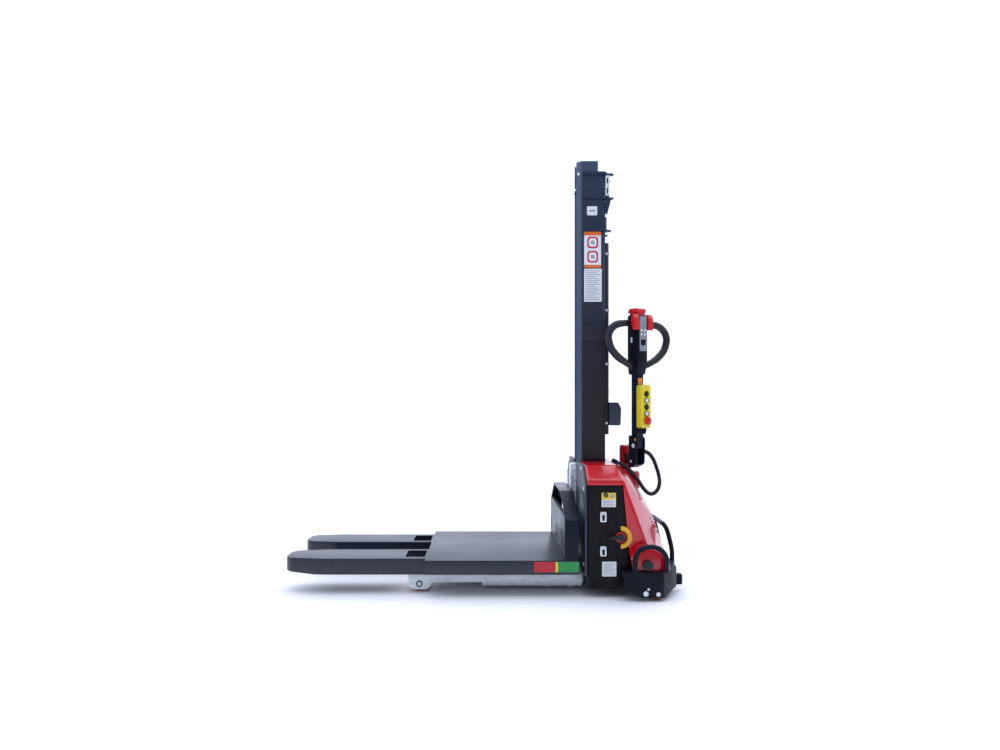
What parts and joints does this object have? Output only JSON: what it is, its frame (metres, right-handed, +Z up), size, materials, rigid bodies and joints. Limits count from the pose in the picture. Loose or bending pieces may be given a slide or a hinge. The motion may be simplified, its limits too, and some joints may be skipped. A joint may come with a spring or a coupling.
{
  "type": "walkie stacker",
  "caption": "Self-loading walkie stacker: forks with a deck plate on a narrow two-stage mast, sliding straddle legs, hooded drive chassis, steered tiller with loop handle and pendant control.",
  "frame": {"origin": "middle of the footprint, on the floor", "axes": "+Z up, forks point along -X, tiller end at +X, Y across the machine"},
  "size_m": [1.6754, 0.82, 1.864],
  "materials": {
    "black_steel": "satin powder coat",
    "mast_paint": "satin paint",
    "slate_paint": "satin paint",
    "zinc": "zinc plated, lightly worn",
    "bare_steel": "machined steel",
    "red_hood": "gloss",
    "red_paint": "gloss paint",
    "black_plastic": "fine grain",
    "cabinet_plastic": "fine grain",
    "red_plastic": "satin",
    "yellow_plastic": "satin",
    "white_plastic": "satin",
    "urethane": "smooth, lightly scuffed",
    "tyre": "matte",
    "conduit": "corrugated, matte"
  },
  "bodies": {
    "chassis": {"chassis_frame": "slate_paint", "base_housing": "black_plastic", "hood": "red_hood", "side_cabinet_near": "cabinet_plastic", "side_cabinet_far": "cabinet_plastic", "arch_hoop_near": "black_steel", "arch_hoop_far": "black_steel", "rear_handle": "black_steel", "battery": "black_plastic", "hydraulic_unit": "bare_steel", "mast_outer": "mast_paint", "mast_tie_top": "black_steel", "mast_tie_upper": "black_steel", "mast_tie_middle": "black_steel", "mast_rear_cover": "mast_paint", "harness_box": "slate_paint", "lift_cylinder": "bare_steel", "conduit": "conduit"},
    "inner_mast": {"mast_inner": "mast_paint", "lift_rod": "bare_steel"},
    "chain_pulley": {"chain_pulley": "bare_steel"},
    "carriage": {"fork_near": "black_steel", "fork_far": "black_steel", "deck_plate": "black_steel", "carriage_side_near": "black_steel", "carriage_side_far": "black_steel", "carriage_top_bar": "black_steel", "carriage_panel": "black_steel", "trolley": "zinc"},
    "steer": {"steer_turret": "red_paint", "tiller_bracket": "black_steel", "drive_unit": "bare_steel"},
    "drive_wheel": {"drive_wheel": "tyre"},
    "tiller": {"tiller_arm": "black_steel", "tiller_head": "black_plastic", "pendant_holder": "black_plastic", "pendant_body": "yellow_plastic"},
    "latch_upper": {"latch_upper": "zinc"},
    "latch_lower": {"latch_lower": "zinc"},
    "disconnect_knob": {"disconnect_knob": "black_plastic"},
    "key_lock": {"key_lock": "black_plastic"},
    "throttle": {"throttle": "red_plastic"},
    "belly_button": {"belly_button": "red_plastic"},
    "emergency_stop": {"emergency_stop": "red_plastic"},
    "head_button_1_left": {"head_button_1_left": "white_plastic"},
    "head_button_1_right": {"head_button_1_right": "white_plastic"},
    "head_button_2_left": {"head_button_2_left": "white_plastic"},
    "head_button_2_right": {"head_button_2_right": "white_plastic"},
    "pendant_button_1": {"pendant_button_1": "black_plastic"},
    "pendant_button_2": {"pendant_button_2": "white_plastic"},
    "pendant_button_3": {"pendant_button_3": "black_plastic"},
    "pendant_button_4": {"pendant_button_4": "white_plastic"},
    "leg_near": {"leg_near": "zinc"},
    "load_wheel_near": {"load_wheel_near": "urethane"},
    "caster_arm_near": {"caster_arm_near": "bare_steel"},
    "caster_wheel_near": {"caster_wheel_near": "urethane"},
    "leg_far": {"leg_far": "zinc"},
    "load_wheel_far": {"load_wheel_far": "urethane"},
    "caster_arm_far": {"caster_arm_far": "bare_steel"},
    "caster_wheel_far": {"caster_wheel_far": "urethane"}
  },
  "joints": [
    {"name": "mast_lift", "type": "slide", "parent": "chassis", "child": "inner_mast", "axis": [0, 0, 1], "range_m": [-0.03, 0.77]},
    {"name": "carriage_lift", "type": "slide", "parent": "inner_mast", "child": "carriage", "axis": [0, 0, 1], "range_m": [-0.03, 0.77]},
    {"name": "pulley_spin", "type": "hinge", "parent": "inner_mast", "child": "chain_pulley", "pos_m": [0.43325, 0, 1.815], "axis": [0, 1, 0], "continuous": true},
    {"name": "leg_slide_near", "type": "slide", "parent": "chassis", "child": "leg_near", "axis": [1, 0, 0], "range_m": [0, 0.37]},
    {"name": "leg_slide_far", "type": "slide", "parent": "chassis", "child": "leg_far", "axis": [1, 0, 0], "range_m": [0, 0.37]},
    {"name": "load_wheel_spin_near", "type": "hinge", "parent": "leg_near", "child": "load_wheel_near", "pos_m": [-0.28375, -0.1815, 0.035], "axis": [0, 1, 0], "continuous": true},
    {"name": "caster_spring_near", "type": "hinge", "parent": "chassis", "child": "caster_arm_near", "pos_m": [0.63225, -0.361, 0.032], "axis": [0, 1, 0], "range_deg": [-8, 0], "stiffness_Nm_per_rad": 120, "springref_deg": 11.46},
    {"name": "caster_wheel_spin_near", "type": "hinge", "parent": "caster_arm_near", "child": "caster_wheel_near", "pos_m": [0.68225, -0.361, 0.03], "axis": [0, 1, 0], "continuous": true},
    {"name": "load_wheel_spin_far", "type": "hinge", "parent": "leg_far", "child": "load_wheel_far", "pos_m": [-0.28375, 0.1815, 0.035], "axis": [0, 1, 0], "continuous": true},
    {"name": "caster_spring_far", "type": "hinge", "parent": "chassis", "child": "caster_arm_far", "pos_m": [0.63225, 0.361, 0.032], "axis": [0, 1, 0], "range_deg": [-8, 0], "stiffness_Nm_per_rad": 120, "springref_deg": 11.46},
    {"name": "caster_wheel_spin_far", "type": "hinge", "parent": "caster_arm_far", "child": "caster_wheel_far", "pos_m": [0.68225, 0.361, 0.03], "axis": [0, 1, 0], "continuous": true},
    {"name": "steer", "type": "hinge", "parent": "chassis", "child": "steer", "pos_m": [0.64125, 0, 0.3], "axis": [0, 0, 1], "range_deg": [-10, 130], "deforming": ["conduit"]},
    {"name": "drive_wheel_spin", "type": "hinge", "parent": "steer", "child": "drive_wheel", "pos_m": [0.64125, 0, 0.105], "axis": [0.866, 0.5, 0], "continuous": true},
    {"name": "tiller_tilt", "type": "hinge", "parent": "steer", "child": "tiller", "pos_m": [0.66875, -0.04763, 0.6], "axis": [0.866, 0.5, 0], "range_deg": [0, 75], "stiffness_Nm_per_rad": 70, "springref_deg": -28.65},
    {"name": "throttle_twist", "type": "hinge", "parent": "tiller", "child": "throttle", "pos_m": [0.68325, -0.07275, 1.15], "axis": [0.866, 0.5, 0], "range_deg": [-22, 22], "stiffness_Nm_per_rad": 1.2},
    {"name": "belly_button_press", "type": "slide", "parent": "tiller", "child": "belly_button", "axis": [0, 0, -1], "range_m": [0, 0.008], "stiffness_N_per_m": 900, "springref_m": -0.003},
    {"name": "head_button_1_left_press", "type": "slide", "parent": "tiller", "child": "head_button_1_left", "axis": [-0.5, 0.866, 0], "range_m": [0, 0.002], "stiffness_N_per_m": 400, "springref_m": -0.001},
    {"name": "head_button_1_right_press", "type": "slide", "parent": "tiller", "child": "head_button_1_right", "axis": [-0.5, 0.866, 0], "range_m": [0, 0.002], "stiffness_N_per_m": 400, "springref_m": -0.001},
    {"name": "head_button_2_left_press", "type": "slide", "parent": "tiller", "child": "head_button_2_left", "axis": [-0.5, 0.866, 0], "range_m": [0, 0.002], "stiffness_N_per_m": 400, "springref_m": -0.001},
    {"name": "head_button_2_right_press", "type": "slide", "parent": "tiller", "child": "head_button_2_right", "axis": [-0.5, 0.866, 0], "range_m": [0, 0.002], "stiffness_N_per_m": 400, "springref_m": -0.001},
    {"name": "pendant_button_1_press", "type": "slide", "parent": "tiller", "child": "pendant_button_1", "axis": [-0.5, 0.866, 0], "range_m": [0, 0.003], "stiffness_N_per_m": 400, "springref_m": -0.001},
    {"name": "pendant_button_2_press", "type": "slide", "parent": "tiller", "child": "pendant_button_2", "axis": [-0.5, 0.866, 0], "range_m": [0, 0.003], "stiffness_N_per_m": 400, "springref_m": -0.001},
    {"name": "pendant_button_3_press", "type": "slide", "parent": "tiller", "child": "pendant_button_3", "axis": [-0.5, 0.866, 0], "range_m": [0, 0.003], "stiffness_N_per_m": 400, "springref_m": -0.001},
    {"name": "pendant_button_4_press", "type": "slide", "parent": "tiller", "child": "pendant_button_4", "axis": [-0.5, 0.866, 0], "range_m": [0, 0.003], "stiffness_N_per_m": 400, "springref_m": -0.001},
    {"name": "emergency_stop_press", "type": "slide", "parent": "tiller", "child": "emergency_stop", "axis": [-0.5, 0.866, 0], "range_m": [0, 0.005]},
    {"name": "disconnect_turn", "type": "hinge", "parent": "chassis", "child": "disconnect_knob", "pos_m": [0.54325, -0.36, 0.246], "axis": [0, 1, 0], "range_deg": [0, 90]},
    {"name": "key_turn", "type": "hinge", "parent": "chassis", "child": "key_lock", "pos_m": [0.48225, -0.349, 0.418], "axis": [0, 1, 0], "range_deg": [0, 90]},
    {"name": "latch_upper_swing", "type": "hinge", "parent": "chassis", "child": "latch_upper", "pos_m": [0.47175, -0.35, 0.349], "axis": [-1, 0, 0], "range_deg": [0, 60]},
    {"name": "latch_lower_swing", "type": "hinge", "parent": "chassis", "child": "latch_lower", "pos_m": [0.47175, -0.35, 0.209], "axis": [-1, 0, 0], "range_deg": [0, 60]}
  ],
  "couplings": [
    {"joint": "carriage_lift", "follows": "mast_lift", "ratio": 1},
    {"joint": "leg_slide_far", "follows": "leg_slide_near", "ratio": 1}
  ]
}
